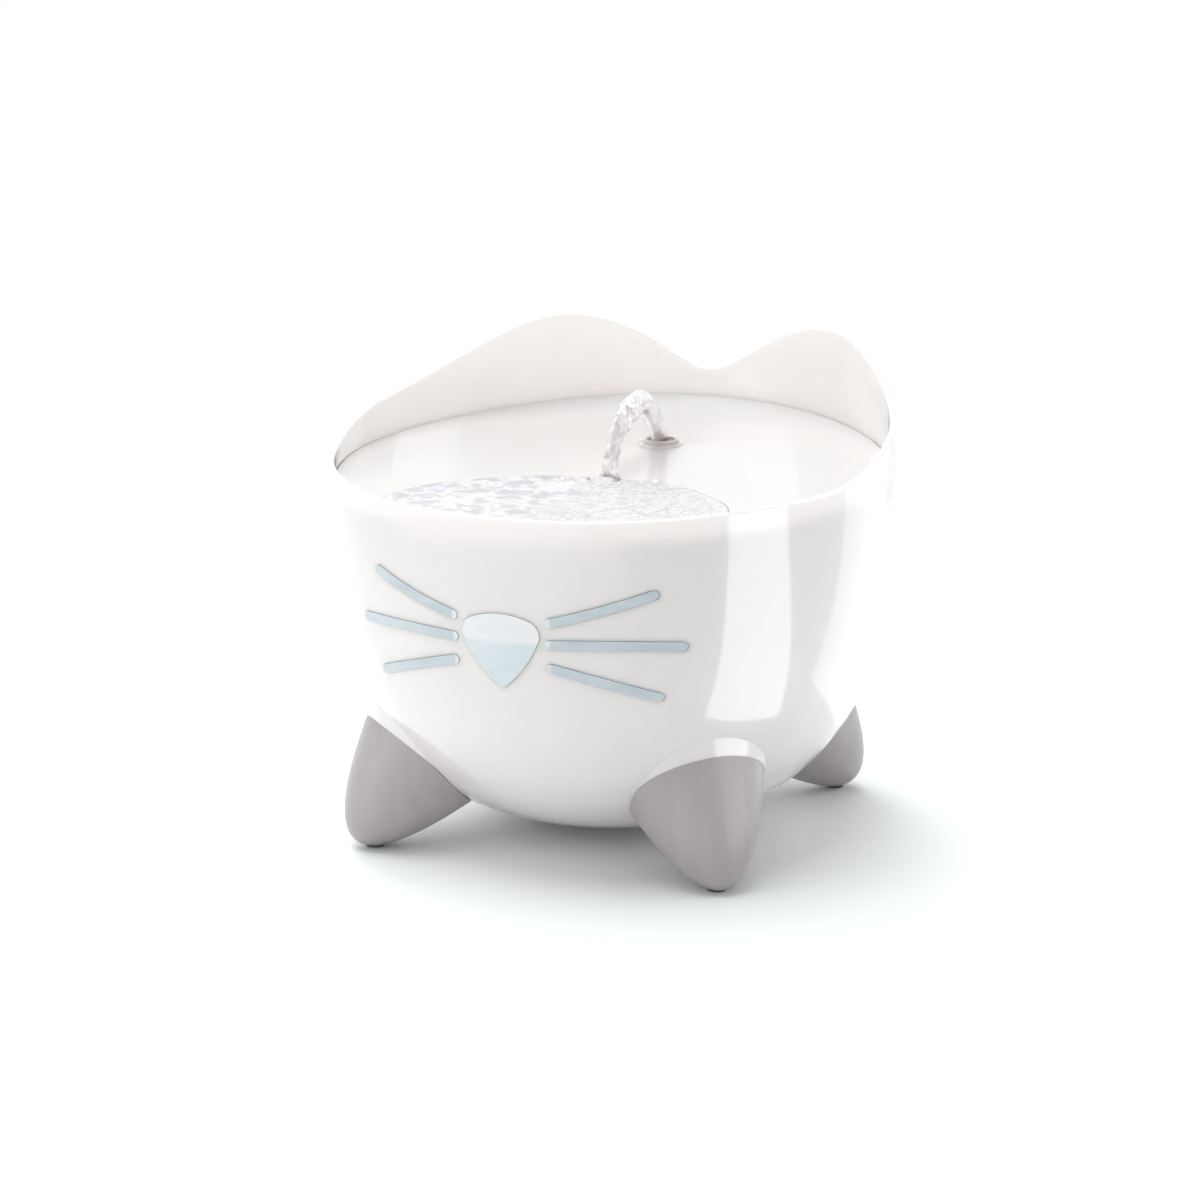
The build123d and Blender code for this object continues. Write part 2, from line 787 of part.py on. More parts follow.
cup_top_z = tray_inside_z + cup_button_height
cup_low_z = cavity_floor_z + cup_seat_gap
cup_profile = (
    (0, cup_top_z),
    (cup_button_radius, cup_top_z),
    (cup_button_radius, tray_inside_z),
    (cup_neck_radius, tray_inside_z),
    (cup_neck_radius, tray_floor_z),
    (cup_button_radius, tray_floor_z),
    (cup_radius, cup_low_z),
    (cup_radius - cup_wall, cup_low_z),
    (0, tray_floor_z - 2 * cup_wall),
)
one_cup = turned(cup_profile)
with BuildPart() as suction_cups:
    with GridLocations(cup_spacing, cup_spacing, 2, 2):
        add(one_cup)
finish(suction_cups, "suction_cups")

# ---------------------------------------------------------------- filter cartridge
slot_front_y = tray_front_y + tray_wall
filter_front_y = slot_front_y + filter_gap
filter_depth = partition_y - slot_front_y - 2 * filter_gap
filter_width = tray_inside_width - 2 * filter_gap
filter_bottom_z = tray_inside_z + filter_gap
filter_middle_z = filter_bottom_z + filter_height / 2
media_width = filter_width - 2 * filter_border
media_height = filter_height - 2 * filter_border


def filter_plane(setback):
    """The upright plane a distance behind the cartridge's front face."""
    return Plane(origin=(0, filter_front_y + setback, filter_middle_z), x_dir=(1, 0, 0), z_dir=(0, -1, 0))


with BuildPart() as filter_frame:
    with BuildSketch(filter_plane(0)):
        RectangleRounded(filter_width, filter_height, filter_border / 2)
        Rectangle(media_width, media_height, mode=Mode.SUBTRACT)
    extrude(amount=-filter_depth)
    for setback in (0, filter_depth - filter_grid):
        with BuildSketch(filter_plane(setback)):
            with GridLocations(media_width / (filter_bar_count + 1), 1, filter_bar_count, 1):
                Rectangle(2 * filter_grid, media_height)
            Rectangle(media_width, 2 * filter_grid)
        extrude(amount=-filter_grid)
    with Locations((0, filter_front_y + filter_depth / 2, filter_bottom_z + filter_height)):
        Box(
            filter_tab[0],
            filter_border,
            filter_tab[1],
            align=(Align.CENTER, Align.CENTER, Align.MIN),
        )
    fillet(filter_frame.edges().filter_by(Axis.Y).group_by(Axis.Z)[-1], filter_border / 2)
finish(filter_frame, "filter_frame")

media_depth = filter_depth - 2 * filter_grid
resin_thickness = media_depth - filter_mesh_thickness - filter_foam_thickness - filter_carbon_thickness
media_setback = filter_grid
for name, thickness in (
    ("filter_mesh", filter_mesh_thickness),
    ("filter_foam", filter_foam_thickness),
    ("filter_carbon", filter_carbon_thickness),
    ("filter_resin", resin_thickness),
):
    with BuildPart() as medium:
        with BuildSketch(filter_plane(media_setback)):
            Rectangle(media_width, media_height)
        extrude(amount=-thickness)
    finish(medium, name)
    media_setback += thickness

# ---------------------------------------------------------------- pump: motor
motor_cover_y = motor_front_y + motor_wall
motor_room_y = motor_back_y - motor_wall
well_radius = well_bore + well_wall
room_width = motor_width - 2 * motor_wall
room_height = motor_height - 2 * motor_wall
room_corner = motor_corner - motor_wall
screw_x = chamber_width / 2 - pump_screw_inset
screw_z = chamber_height / 2 - pump_screw_inset
pump_screw_hole = pump_screw_radius + screw_thread_gap


def pump_plane(y):
    """The upright plane across the pump's axis at a y, with its normal towards the front."""
    return Plane(origin=(0, y, pump_axis_z), x_dir=(1, 0, 0), z_dir=(0, -1, 0))


with BuildPart() as motor_housing:
    with BuildSketch(pump_plane(motor_back_y)):
        RectangleRounded(motor_width, motor_height, motor_corner)
    extrude(amount=motor_back_y - motor_cover_y)
    with BuildSketch(pump_plane(motor_room_y)):
        RectangleRounded(room_width, room_height, room_corner)
        Circle(well_radius, mode=Mode.SUBTRACT)
        with GridLocations(2 * screw_x, 2 * screw_z, 2, 2):
            Circle(pump_boss_radius, mode=Mode.SUBTRACT)
    extrude(amount=pump_boss_length, mode=Mode.SUBTRACT)
    with BuildSketch(pump_plane(motor_room_y - pump_boss_length)):
        RectangleRounded(room_width, room_height, room_corner)
        Circle(well_radius, mode=Mode.SUBTRACT)
    extrude(amount=motor_room_y - pump_boss_length - well_floor_y + well_wall, mode=Mode.SUBTRACT)
    with BuildSketch(pump_plane(well_floor_y - well_wall)):
        RectangleRounded(room_width, room_height, room_corner)
    extrude(amount=well_floor_y - well_wall - motor_cover_y, mode=Mode.SUBTRACT)
    with BuildSketch(pump_plane(motor_back_y)):
        Circle(well_bore)
    extrude(amount=motor_back_y - well_floor_y, mode=Mode.SUBTRACT)
    with BuildSketch(pump_plane(motor_back_y)):
        with GridLocations(2 * screw_x, 2 * screw_z, 2, 2):
            Circle(pump_screw_hole)
    extrude(amount=motor_wall + pump_boss_length, mode=Mode.SUBTRACT)
    with BuildSketch(Plane.XY.offset(motor_top_z)):
        with Locations((0, lamp_y)):
            Circle(lamp_radius)
    extrude(amount=-motor_wall, mode=Mode.SUBTRACT)
finish(motor_housing, "motor_housing")

with BuildPart() as motor_cover:
    with BuildSketch(pump_plane(motor_cover_y)):
        RectangleRounded(motor_width, motor_height, motor_corner)
    extrude(amount=motor_wall)
    fillet(motor_cover.faces().sort_by(Axis.Y)[0].edges(), motor_wall / 2)
    with BuildSketch(pump_plane(motor_cover_y)):
        RectangleRounded(room_width - 2 * cover_gap, room_height - 2 * cover_gap, room_corner - cover_gap)
        RectangleRounded(
            room_width - 2 * cover_gap - 2 * cover_lip,
            room_height - 2 * cover_gap - 2 * cover_lip,
            room_corner - cover_gap - cover_lip,
            mode=Mode.SUBTRACT,
        )
    extrude(amount=-cover_lip_depth)
finish(motor_cover, "motor_cover")

core_inner_x = well_radius + core_gap
core_outer_x = core_inner_x + core_leg
yoke_back_y = core_yoke_y + core_leg
with BuildPart() as stator_core:
    with BuildSketch(Plane.XY.offset(pump_axis_z - core_height / 2)):
        with Locations((0, (core_yoke_y + yoke_back_y) / 2)):
            Rectangle(2 * core_outer_x, core_leg)
        with Locations((0, (core_yoke_y + core_back_y) / 2)):
            with GridLocations(core_inner_x + core_outer_x, 1, 2, 1):
                Rectangle(core_leg, core_back_y - core_yoke_y)
    extrude(amount=core_height)
finish(stator_core, "stator_core")

with BuildPart() as stator_coil:
    with BuildSketch(Plane.YZ.offset(-coil_length / 2)):
        with Locations(((core_yoke_y + yoke_back_y) / 2, pump_axis_z)):
            RectangleRounded(core_leg + 2 * coil_build, core_height + 2 * coil_build, coil_build)
            Rectangle(core_leg, core_height, mode=Mode.SUBTRACT)
    extrude(amount=coil_length)
finish(stator_coil, "stator_coil")

room_top_z = motor_top_z - motor_wall
with BuildPart() as lamp_board:
    with BuildSketch(Plane.XY.offset(room_top_z)):
        with Locations((0, lamp_y)):
            RectangleRounded(board_size[0], board_size[1], board_size[2] / 2)
    extrude(amount=-board_size[2])
finish(lamp_board, "lamp_board")

lamp_centre = (0, lamp_y, motor_top_z)
with BuildPart() as lamp_lens:
    with Locations(lamp_centre):
        Sphere(lamp_radius, arc_size1=0)
        Cylinder(lamp_radius, motor_wall, align=(Align.CENTER, Align.CENTER, Align.MAX))
finish(lamp_lens, "lamp_lens")

with BuildPart() as potting:
    with BuildSketch(pump_plane(motor_room_y)):
        RectangleRounded(room_width, room_height, room_corner)
    extrude(amount=motor_room_y - motor_cover_y)
    for piece in (motor_housing, motor_cover, stator_core, stator_coil, lamp_board):
        add(piece.part, mode=Mode.SUBTRACT)
    with BuildSketch(pump_plane(motor_back_y)):
        Circle(well_radius)
        with GridLocations(2 * screw_x, 2 * screw_z, 2, 2):
            Circle(pump_screw_hole)
    extrude(amount=motor_back_y - well_floor_y, mode=Mode.SUBTRACT)
finish(potting, "potting")

gland_profile = (
    (0, motor_top_z),
    (gland_radius, motor_top_z),
    (gland_radius, motor_top_z + gland_height / 4),
    (gland_radius - gland_taper, motor_top_z + gland_height),
    (cord_bore_radius, motor_top_z + gland_height),
    (cord_bore_radius, motor_top_z + gland_height / 4),
    (0, motor_top_z + gland_height / 4),
)
one_gland = turned(gland_profile)
with BuildPart() as pump_cord_gland:
    with Locations((*gland_xy, 0)):
        add(one_gland)
finish(pump_cord_gland, "pump_cord_gland")

# ---------------------------------------------------------------- pump: impeller chamber
chamber_room_y = chamber_back_y - chamber_wall
chamber_top_z = pump_axis_z + chamber_height / 2
nozzle_top_z = chamber_top_z + nozzle_length
rear_bush_y = chamber_room_y + bush_length
with BuildPart() as impeller_cover:
    with BuildSketch(pump_plane(chamber_back_y)):
        RectangleRounded(chamber_width, chamber_height, motor_corner)
    extrude(amount=chamber_back_y - motor_back_y)
    with BuildSketch(Plane.XY.offset(pump_axis_z)):
        with Locations((0, nozzle_y)):
            Circle(nozzle_radius)
    extrude(amount=nozzle_top_z - pump_axis_z)
    with BuildSketch(pump_plane(chamber_room_y)):
        Circle(chamber_radius)
    extrude(amount=chamber_room_y - motor_back_y, mode=Mode.SUBTRACT)
    with BuildSketch(pump_plane(chamber_back_y)):
        Circle(intake_radius)
        Circle(bush_radius + intake_hub_wall, mode=Mode.SUBTRACT)
        with PolarLocations(intake_radius / 2, spoke_count, start_angle=90):
            Rectangle(intake_radius, spoke_width, mode=Mode.SUBTRACT)
    extrude(amount=chamber_wall, mode=Mode.SUBTRACT)
    with BuildSketch(pump_plane(rear_bush_y)):
        Circle(bush_radius)
    extrude(amount=bush_length, mode=Mode.SUBTRACT)
    with BuildSketch(pump_plane(rear_bush_y + shaft_seat)):
        Circle(shaft_radius + bush_play)
    extrude(amount=shaft_seat, mode=Mode.SUBTRACT)
    with BuildSketch(pump_plane(motor_back_y + 2 * seal_section)):
        Circle(seal_ring_radius + seal_section)
        Circle(seal_ring_radius - seal_section, mode=Mode.SUBTRACT)
    extrude(amount=2 * seal_section, mode=Mode.SUBTRACT)
    with BuildSketch(Plane.XY.offset(nozzle_top_z)):
        with Locations((0, nozzle_y)):
            Circle(nozzle_bore)
    extrude(amount=pump_axis_z - nozzle_top_z, mode=Mode.SUBTRACT)
    with BuildSketch(pump_plane(chamber_back_y)):
        with GridLocations(2 * screw_x, 2 * screw_z, 2, 2):
            Circle(pump_screw_hole)
    extrude(amount=chamber_back_y - motor_back_y, mode=Mode.SUBTRACT)
    with BuildSketch(pump_plane(chamber_back_y)):
        with GridLocations(2 * screw_x, 2 * screw_z, 2, 2):
            Circle(pump_screw_head_radius + screw_thread_gap)
    extrude(amount=pump_screw_head, mode=Mode.SUBTRACT)
finish(impeller_cover, "impeller_cover")

with BuildPart() as pump_seal_ring:
    with Locations(Plane(origin=(0, motor_back_y + seal_section, pump_axis_z), z_dir=(0, 1, 0))):
        Torus(seal_ring_radius, seal_section)
finish(pump_seal_ring, "pump_seal_ring")

with BuildPart() as pump_screws:
    with BuildSketch(pump_plane(chamber_back_y)):
        with GridLocations(2 * screw_x, 2 * screw_z, 2, 2):
            Circle(pump_screw_head_radius)
    extrude(amount=pump_screw_head)
    with BuildSketch(pump_plane(chamber_back_y - pump_screw_head)):
        with GridLocations(2 * screw_x, 2 * screw_z, 2, 2):
            Circle(pump_screw_radius)
    extrude(amount=pump_screw_length)
    with BuildSketch(pump_plane(chamber_back_y)):
        with GridLocations(2 * screw_x, 2 * screw_z, 2, 2):
            Rectangle(pump_screw_head_radius * 1.4, pump_screw_head_radius / 4)
            Rectangle(pump_screw_head_radius / 4, pump_screw_head_radius * 1.4)
    extrude(amount=pump_screw_head / 2, mode=Mode.SUBTRACT)
finish(pump_screws, "pump_screws")

# ---------------------------------------------------------------- pump: shaft, bushes and impeller
hub_front_y = well_floor_y + bush_length + hub_play
hub_back_y = chamber_room_y - hub_play
disc_front_y = motor_back_y + impeller_lift
disc_back_y = disc_front_y + impeller_disc

for name, bush_back_y in (("shaft_bush_front", well_floor_y + bush_length), ("shaft_bush_rear", rear_bush_y)):
    with BuildPart() as bush:
        with BuildSketch(pump_plane(bush_back_y)):
            Circle(bush_radius)
            Circle(shaft_radius + bush_play, mode=Mode.SUBTRACT)
        extrude(amount=bush_length)
    finish(bush, name)

with BuildPart() as impeller_shaft:
    with BuildSketch(pump_plane(rear_bush_y + shaft_seat)):
        Circle(shaft_radius)
    extrude(amount=rear_bush_y + shaft_seat - well_floor_y)
finish(impeller_shaft, "impeller_shaft")

with BuildPart() as impeller:
    with BuildSketch(pump_plane(disc_back_y)):
        Circle(impeller_radius)
    extrude(amount=impeller_disc)
    with BuildSketch(pump_plane(disc_back_y + vane_height)):
        with PolarLocations(impeller_radius / 2, vane_count):
            Rectangle(impeller_radius, vane_thickness)
        Circle(impeller_radius, mode=Mode.INTERSECT)
    extrude(amount=vane_height)
    with BuildSketch(pump_plane(hub_back_y)):
        Circle(hub_radius)
    extrude(amount=hub_back_y - hub_front_y)
    with BuildSketch(pump_plane(hub_back_y)):
        Circle(shaft_radius + shaft_play)
    extrude(amount=hub_back_y - hub_front_y, mode=Mode.SUBTRACT)
finish(impeller, "impeller")

with BuildPart() as rotor_magnet:
    with BuildSketch(pump_plane(hub_front_y + magnet_length)):
        Circle(magnet_radius)
        Circle(hub_radius, mode=Mode.SUBTRACT)
    extrude(amount=magnet_length)
    chamfer(rotor_magnet.edges().filter_by(GeomType.CIRCLE).group_by(SortBy.RADIUS)[-1], magnet_chamfer)
finish(rotor_magnet, "rotor_magnet")

# ---------------------------------------------------------------- pump: strainer and flow slider
strainer_back_y = chamber_back_y + strainer_depth
strainer_middle_y = chamber_back_y + strainer_depth / 2
rail_inner = slider_depth / 2 + slider_gap
rail_top = slider_thickness + 2 * slider_gap
rail_length = slider_width + slider_travel + 2 * slider_gap + 2 * rail_thickness
with BuildPart() as intake_strainer:
    with BuildSketch(pump_plane(strainer_back_y)):
        RectangleRounded(chamber_width, chamber_height, motor_corner)
    extrude(amount=strainer_depth)
    fillet(intake_strainer.faces().sort_by(Axis.Y)[-1].edges(), strainer_wall / 2)
    with BuildSketch(pump_plane(strainer_back_y - strainer_wall)):
        RectangleRounded(
            chamber_width - 2 * strainer_wall,
            chamber_height - 2 * strainer_wall,
            motor_corner - strainer_wall,
        )
    extrude(amount=strainer_depth - strainer_wall, mode=Mode.SUBTRACT)
    with BuildSketch(pump_plane(strainer_back_y)):
        with GridLocations(strainer_slot_pitch, 1, strainer_slot_count, 1):
            SlotOverall(chamber_height - 2 * motor_corner, strainer_slot, rotation=90)
    extrude(amount=strainer_wall, mode=Mode.SUBTRACT)
    with BuildSketch(Plane.XY.offset(chamber_top_z)):
        for rail_side in (-1, 1):
            with Locations((0, strainer_middle_y + rail_side * (rail_inner + rail_thickness / 2))):
                Rectangle(rail_length, rail_thickness)
            with Locations((rail_side * (rail_length - rail_thickness) / 2, strainer_middle_y)):
                Rectangle(rail_thickness, 2 * rail_inner)
    extrude(amount=rail_top)
    with BuildSketch(Plane.XY.offset(chamber_top_z + rail_top)):
        for rail_side in (-1, 1):
            lip_centre = rail_inner + (rail_thickness - rail_lip) / 2
            with Locations((0, strainer_middle_y + rail_side * lip_centre)):
                Rectangle(rail_length, rail_thickness + rail_lip)
    extrude(amount=rail_thickness)
    with BuildSketch(Plane.XY.offset(chamber_top_z)):
        with Locations((-slider_travel / 2, strainer_middle_y)):
            Rectangle(slider_travel, slider_depth / 2)
    extrude(amount=-strainer_wall, mode=Mode.SUBTRACT)
finish(intake_strainer, "intake_strainer")

slider_low_z = chamber_top_z + slider_gap
with BuildPart() as flow_slider:
    with Locations((-slider_travel / 2, strainer_middle_y, slider_low_z)):
        Box(
            slider_width,
            slider_depth,
            slider_thickness,
            align=(Align.CENTER, Align.CENTER, Align.MIN),
        )
        Box(
            slider_grip[0],
            slider_grip[1],
            slider_thickness + slider_grip[2],
            align=(Align.CENTER, Align.CENTER, Align.MIN),
        )
    fillet(flow_slider.faces().sort_by(Axis.Z)[-1].edges(), slider_grip[0] / 6)
finish(flow_slider, "flow_slider")

# ---------------------------------------------------------------- riser hose
with BuildPart() as riser_hose:
    with BuildLine(Plane.YZ):
        FilletPolyline(
            (nozzle_y, nozzle_top_z - hose_grip),
            (nozzle_y, hose_lower_z),
            (spout_y, hose_upper_z),
            (spout_y, hose_top_z),
            radius=hose_bend,
        )
    with BuildSketch(Plane.XY.offset(nozzle_top_z - hose_grip)):
        with Locations((0, nozzle_y)):
            Circle(hose_radius)
            Circle(hose_bore, mode=Mode.SUBTRACT)
    sweep()
finish(riser_hose, "riser_hose")
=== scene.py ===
"""A pet water fountain on four feet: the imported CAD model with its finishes, the water in its dish and the studio."""

import json
import math

import bmesh
import bpy
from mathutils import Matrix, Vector, noise
from mathutils.bvhtree import BVHTree


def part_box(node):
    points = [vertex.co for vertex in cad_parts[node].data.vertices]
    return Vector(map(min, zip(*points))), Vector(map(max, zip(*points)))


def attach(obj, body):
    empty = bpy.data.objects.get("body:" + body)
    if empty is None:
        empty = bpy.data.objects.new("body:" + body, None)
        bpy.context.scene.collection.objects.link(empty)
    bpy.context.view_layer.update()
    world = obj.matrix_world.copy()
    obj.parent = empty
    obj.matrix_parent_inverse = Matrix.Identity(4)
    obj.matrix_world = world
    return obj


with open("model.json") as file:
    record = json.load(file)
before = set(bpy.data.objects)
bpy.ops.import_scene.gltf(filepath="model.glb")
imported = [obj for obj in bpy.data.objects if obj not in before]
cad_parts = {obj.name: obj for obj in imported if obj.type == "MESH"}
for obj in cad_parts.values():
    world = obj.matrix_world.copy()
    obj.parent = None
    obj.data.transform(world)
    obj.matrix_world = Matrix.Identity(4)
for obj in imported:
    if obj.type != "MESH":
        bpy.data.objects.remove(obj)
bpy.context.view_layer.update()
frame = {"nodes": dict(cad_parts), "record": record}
nodes = frame["nodes"]
MM = 0.001

# ---------------------------------------------------------------- places, in metres
POOL_AXIS = Vector((0.0, -73 * MM, 0.0))
POOL_RADIUS = 76 * MM
POOL_FRONT_RADIUS = 107.6 * MM  # the water's front edge, about the bowl's axis
WATER_Z = 149.5 * MM
nozzle_low, nozzle_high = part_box("spout_nozzle")
JET_FOOT = Vector((0.0, (nozzle_low.y + nozzle_high.y) / 2 - 1 * MM, nozzle_high.z - 0.6 * MM))
JET_RISE = 22 * MM
JET_REACH = 57.5 * MM
JET_END_Z = WATER_Z + 0.9 * MM  # inside the splash's mound, and clear of the ramp when the nozzle turns
SPLASH = Vector((-0.6 * MM, JET_FOOT.y - JET_REACH, WATER_Z))


# ---------------------------------------------------------------- materials
class Nodes:
    """A material's node tree, with short calls that add and join its nodes."""

    def __init__(self, name):
        self.material = bpy.data.materials.new(name)
        self.material.use_nodes = True
        self.tree = self.material.node_tree
        self.shader = self.tree.nodes["Principled BSDF"]
        self.coordinates = self.tree.nodes.new("ShaderNodeTexCoord").outputs["Object"]

    def add(self, kind, inputs=None, **settings):
        node = self.tree.nodes.new(kind)
        for name, value in settings.items():
            setattr(node, name, value)
        for name, value in (inputs or {}).items():
            self.put(node, name, value)
        return node

    def put(self, node, name, value):
        """Sets an input, or joins it to an output."""
        if isinstance(value, bpy.types.NodeSocket):
            self.tree.links.new(value, node.inputs[name])
        else:
            node.inputs[name].default_value = value

    def set(self, **values):
        """Sets the shader's inputs; an underscore stands for a space."""
        for name, value in values.items():
            self.put(self.shader, name.replace("_", " "), value)

    def stretched(self, scale):
        """The object's coordinates, stretched along each axis."""
        mapping = self.add("ShaderNodeMapping", {"Scale": scale, "Vector": self.coordinates})
        return mapping.outputs["Vector"]

    def noise(self, scale, detail=3.0, roughness=0.5, vector=None):
        texture = self.add(
            "ShaderNodeTexNoise",
            {"Scale": scale, "Detail": detail, "Roughness": roughness, "Vector": vector or self.coordinates},
        )
        return texture.outputs["Fac"]

    def ramp(self, factor, stops):
        """A colour ramp; each stop is a position and a colour, or a position and a grey."""
        node = self.add("ShaderNodeValToRGB", {"Fac": factor})
        elements = node.color_ramp.elements
        while len(elements) < len(stops):
            elements.new(0.5)
        for element, (position, colour) in zip(elements, stops):
            element.position = position
            element.color = (*colour, 1) if isinstance(colour, tuple) else (colour, colour, colour, 1)
        return node.outputs["Color"]

    def mix(self, factor, first, second):
        """The first colour where the factor is 0, and the second where it is 1."""
        node = self.add("ShaderNodeMix", {"Factor": factor}, data_type="RGBA")
        self.tree.links.new(first, next(socket for socket in node.inputs if socket.identifier == "A_Color"))
        self.tree.links.new(second, next(socket for socket in node.inputs if socket.identifier == "B_Color"))
        return next(socket for socket in node.outputs if socket.identifier == "Result_Color")

    def range(self, value, low, high, from_low=0.0, from_high=1.0):
        node = self.add(
            "ShaderNodeMapRange",
            {"Value": value, "From Min": from_low, "From Max": from_high, "To Min": low, "To Max": high},
        )
        return node.outputs["Result"]

    def math(self, operation, first, second=0.0):
        node = self.add("ShaderNodeMath", operation=operation)
        self.put(node, 0, first)
        self.put(node, 1, second)
        return node.outputs["Value"]

    def bump(self, height, distance, strength=1.0, under=None):
        inputs = {"Height": height, "Distance": distance, "Strength": strength}
        if under is not None:
            inputs["Normal"] = under
        return self.add("ShaderNodeBump", inputs).outputs["Normal"]


def linear(red, green, blue):
    """A colour given in display values from 0 to 255."""
    return tuple(
        value / 3294.6 if value <= 10.3 else ((value / 255 + 0.055) / 1.055) ** 2.4 for value in (red, green, blue)
    )


def moulded(name, light, dark, roughness, grain=2200.0, depth=0.012 * MM, coat=0.0, **extra):
    """Moulded plastic or rubber: faint mottling, a fine grain and a roughness that varies a little."""
    made = Nodes(name)
    cloud = made.noise(38.0, 4.0, 0.6)
    fine = made.noise(grain, 2.0, 0.6)
    made.set(
        Base_Color=made.ramp(cloud, [(0.3, dark), (0.7, light)]),
        Roughness=made.range(cloud, roughness - 0.03, roughness + 0.03, 0.3, 0.7),
        Normal=made.bump(fine, depth),
        Coat_Weight=coat,
        Coat_Roughness=0.04,
        **extra,
    )
    return made.material


def clear(name, tint, roughness, alpha_grain=900.0, ior=1.46):
    """Clear tinted plastic, with faint flow lines from its moulding."""
    made = Nodes(name)
    flow = made.noise(60.0, 3.0, 0.5, made.stretched((1.0, 1.0, 5.0)))
    made.set(
        Base_Color=made.ramp(flow, [(0.3, tint), (0.7, tuple(min(1.0, c * 1.04) for c in tint))]),
        Roughness=made.range(flow, roughness, roughness + 0.04, 0.3, 0.7),
        Normal=made.bump(made.noise(alpha_grain, 2.0), 0.01 * MM),
        Transmission_Weight=0.35,
        IOR=ior,
    )
    return made.material


def bowl_plastic():
    """Glossy warm white plastic with a soft, slightly see-through depth."""
    made = Nodes("bowl_plastic")
    cloud = made.noise(22.0, 4.0, 0.55)
    ripple = made.noise(55.0, 2.0, 0.4, made.stretched((1.0, 1.0, 0.25)))
    fine = made.noise(2600.0, 2.0, 0.6)
    orange_peel = made.bump(ripple, 0.06 * MM)
    made.set(
        Base_Color=made.ramp(cloud, [(0.0, linear(242, 237, 235)), (1.0, linear(248, 243, 241))]),
        Roughness=made.range(cloud, 0.2, 0.3),
        Normal=made.bump(fine, 0.008 * MM, 1.0, orange_peel),
        Coat_Weight=1.0,
        Coat_Roughness=0.06,
        Coat_IOR=1.7,
        Subsurface_Weight=0.75,
        Subsurface_Radius=(1.0, 0.97, 0.96),
        Subsurface_Scale=6 * MM,
    )
    return made.material


def dish_plastic():
    """Glossy white plastic, cooler and smoother than the bowl."""
    made = Nodes("dish_plastic")
    cloud = made.noise(30.0, 4.0, 0.55)
    ripple = made.noise(45.0, 2.0, 0.4)
    made.set(
        Base_Color=made.ramp(cloud, [(0.0, linear(228, 227, 226)), (1.0, linear(233, 232, 231))]),
        Roughness=made.range(cloud, 0.1, 0.18),
        Normal=made.bump(made.noise(2600.0, 2.0), 0.006 * MM, 1.0, made.bump(ripple, 0.05 * MM)),
        Coat_Weight=1.0,
        Coat_Roughness=0.03,
        Coat_IOR=1.6,
    )
    return made.material


def foot_plastic():
    """Satin grey plastic with faint drawn streaks up the foot."""
    made = Nodes("foot_plastic")
    streaks = made.noise(160.0, 3.0, 0.6, made.stretched((1.0, 1.0, 0.06)))
    cloud = made.noise(45.0, 3.0, 0.5)
    blend = made.math("ADD", made.math("MULTIPLY", streaks, 0.6), made.math("MULTIPLY", cloud, 0.4))
    made.set(
        Base_Color=made.ramp(blend, [(0.3, linear(168, 164, 163)), (0.7, linear(178, 174, 173))]),
        Roughness=made.range(streaks, 0.34, 0.44, 0.3, 0.7),
        Normal=made.bump(made.noise(1800.0, 2.0, 0.6), 0.02 * MM, 1.0, made.bump(streaks, 0.02 * MM)),
        Coat_Weight=0.15,
        Coat_Roughness=0.3,
    )
    return made.material


def window_plastic():
    """Clear pale blue plastic over the stored water, whose surface shows as a band of painted light at the nose's top.
    """
    made = Nodes("window_plastic")
    place = made.add("ShaderNodeSeparateXYZ", {"Vector": made.coordinates}).outputs
    wobble = made.math("MULTIPLY", made.noise(70.0, 2.0), 1.5 * MM)
    level = made.math("ADD", place["Z"], wobble)
    above = made.range(level, 0.0, 1.0, 106.0 * MM, 108.2 * MM)
    beside_nose = made.range(made.math("ABSOLUTE", place["X"]), 0.0, 1.0, 20.0 * MM, 21.5 * MM)
    flow = made.noise(55.0, 3.0, 0.6, made.stretched((1.0, 1.0, 3.0)))
    below = made.ramp(flow, [(0.3, linear(222, 236, 241)), (0.7, linear(236, 246, 249))])
    # painted light: the lighter band over the water's level stands for the light off the water's surface behind the
    # window
    air = made.ramp(flow, [(0.3, linear(243, 248, 252)), (0.7, linear(251, 253, 255))])
    whisker = made.ramp(flow, [(0.3, linear(196, 212, 219)), (0.7, linear(216, 228, 233))])
    made.set(
        Base_Color=made.mix(beside_nose, made.mix(above, below, air), whisker),
        Roughness=0.08,
        Normal=made.bump(flow, 0.25 * MM),
        Transmission_Weight=0.1,
        IOR=1.46,
        Coat_Weight=0.6,
        Coat_Roughness=0.03,
    )
    return made.material


